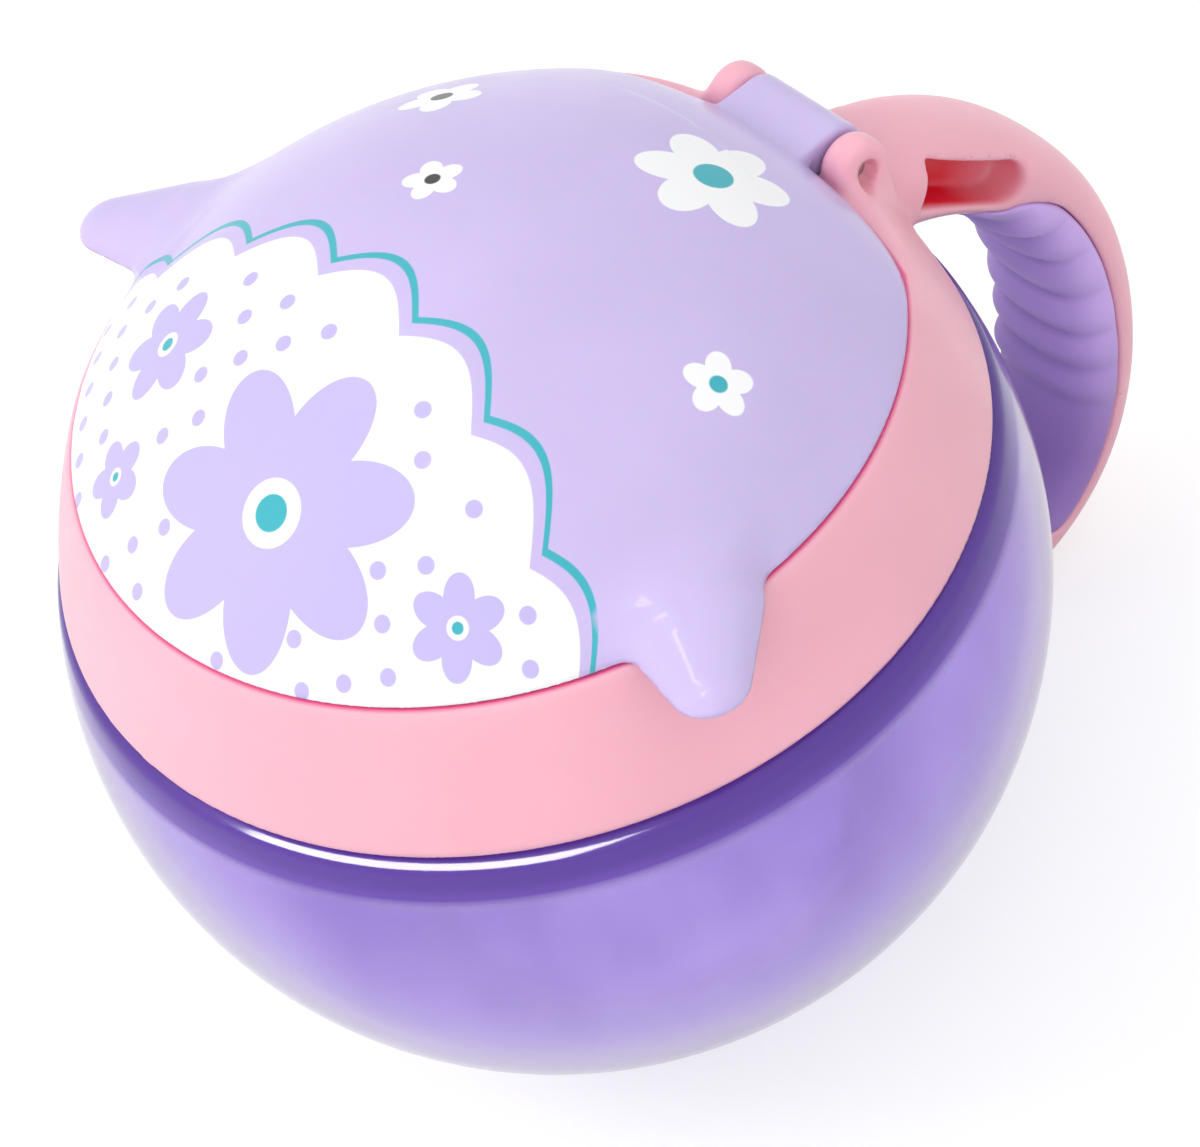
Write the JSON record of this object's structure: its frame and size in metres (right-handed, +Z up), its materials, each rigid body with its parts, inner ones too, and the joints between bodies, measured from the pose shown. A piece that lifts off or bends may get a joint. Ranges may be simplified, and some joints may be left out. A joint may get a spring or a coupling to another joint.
{
  "type": "toddler snack container",
  "caption": "Ball-shaped snack bowl with a screw-on collar and handle, a hinged dome lid with side tabs, and a soft slit membrane under the lid.",
  "frame": {"origin": "centre of the bowl's flat base, on the table", "axes": "+Z up along the bowl's axis, +Y towards the handle and the hinge, -Y the front"},
  "size_m": [0.1048, 0.1301, 0.0991],
  "materials": {
    "tinted_clear": "glossy, tinted and see-through",
    "pink_plastic": "satin moulded plastic",
    "lavender_plastic": "satin gloss moulded plastic with a printed top",
    "soft_grip": "matte soft-touch rubber",
    "soft_membrane": "matte translucent soft rubber",
    "pin_steel": "drawn steel wire"
  },
  "bodies": {
    "bowl": {"bowl": "tinted_clear"},
    "membrane": {"flap_ring": "soft_membrane"},
    "collar": {"collar": "pink_plastic", "handle": "pink_plastic", "grip": "soft_grip", "hinge_pin": "pin_steel"},
    "lid": {"lid": "lavender_plastic"},
    "flap_1": {"flap_1": "soft_membrane"},
    "flap_2": {"flap_2": "soft_membrane"},
    "flap_3": {"flap_3": "soft_membrane"},
    "flap_4": {"flap_4": "soft_membrane"},
    "flap_5": {"flap_5": "soft_membrane"},
    "flap_6": {"flap_6": "soft_membrane"}
  },
  "joints": [
    {"name": "collar_lift", "type": "slide", "parent": "bowl", "child": "membrane", "axis": [0, 0, 1], "range_m": [0, 0.005]},
    {"name": "collar_turn", "type": "hinge", "parent": "membrane", "child": "collar", "pos_m": [0, 0, 0.0735], "axis": [0, 0, 1], "range_deg": [0, 450]},
    {"name": "lid_open", "type": "hinge", "parent": "collar", "child": "lid", "pos_m": [0, 0.0426, 0.0796], "axis": [-1, 0, 0], "range_deg": [0, 150]},
    {"name": "flap_1_bend", "type": "hinge", "parent": "membrane", "child": "flap_1", "pos_m": [0.02905, 0, 0.0739], "axis": [0, -1, 0], "range_deg": [-30, 60], "stiffness_Nm_per_rad": 0.004},
    {"name": "flap_2_bend", "type": "hinge", "parent": "membrane", "child": "flap_2", "pos_m": [0.01452, 0.02516, 0.0739], "axis": [0.866, -0.5, 0], "range_deg": [-30, 60], "stiffness_Nm_per_rad": 0.004},
    {"name": "flap_3_bend", "type": "hinge", "parent": "membrane", "child": "flap_3", "pos_m": [-0.01452, 0.02516, 0.0739], "axis": [0.866, 0.5, 0], "range_deg": [-30, 60], "stiffness_Nm_per_rad": 0.004},
    {"name": "flap_4_bend", "type": "hinge", "parent": "membrane", "child": "flap_4", "pos_m": [-0.02905, 0, 0.0739], "axis": [0, 1, 0], "range_deg": [-30, 60], "stiffness_Nm_per_rad": 0.004},
    {"name": "flap_5_bend", "type": "hinge", "parent": "membrane", "child": "flap_5", "pos_m": [-0.01452, -0.02516, 0.0739], "axis": [-0.866, 0.5, 0], "range_deg": [-30, 60], "stiffness_Nm_per_rad": 0.004},
    {"name": "flap_6_bend", "type": "hinge", "parent": "membrane", "child": "flap_6", "pos_m": [0.01452, -0.02516, 0.0739], "axis": [-0.866, -0.5, 0], "range_deg": [-30, 60], "stiffness_Nm_per_rad": 0.004}
  ],
  "couplings": [
    {"joint": "collar_lift", "follows": "collar_turn", "m_per_rad": 0.00063662}
  ]
}
